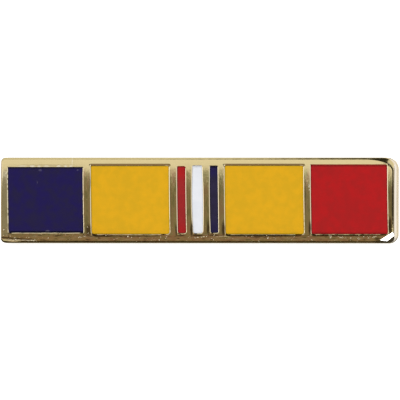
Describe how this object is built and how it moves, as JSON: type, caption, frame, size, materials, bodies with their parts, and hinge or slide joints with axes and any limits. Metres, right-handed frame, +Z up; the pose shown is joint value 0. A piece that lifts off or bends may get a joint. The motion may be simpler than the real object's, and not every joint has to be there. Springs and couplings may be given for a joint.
{
  "type": "award lapel pin",
  "caption": "Gold-plated ribbon-bar lapel pin with striped enamel cells and posts on its back, leaning on them.",
  "frame": {"origin": "on the surface that the pin rests on, under the middle of its box", "axes": "+X along the bar to the right of someone facing it, +Y from the face to the posts, +Z up; the bar leans back by 10.8 degrees onto its lower back edge and the ends of its posts"},
  "size_m": [0.0174, 0.0094, 0.0039],
  "materials": {
    "gold_plate": "polished pale gold plate on struck brass, with fine pits and tarnished hollows",
    "blue_enamel": "dark navy hard enamel, ground flush and satin smooth",
    "yellow_enamel": "golden yellow hard enamel, ground flush and satin smooth",
    "red_enamel": "scarlet hard enamel, ground flush and satin smooth",
    "white_enamel": "cool white hard enamel, ground flush and satin smooth"
  },
  "bodies": {
    "root": {"bar": "gold_plate", "enamel_blue": "blue_enamel", "enamel_yellow_left": "yellow_enamel", "stripe_red": "red_enamel", "stripe_white": "white_enamel", "stripe_blue": "blue_enamel", "enamel_yellow_right": "yellow_enamel", "enamel_red": "red_enamel"}
  },
  "joints": []
}
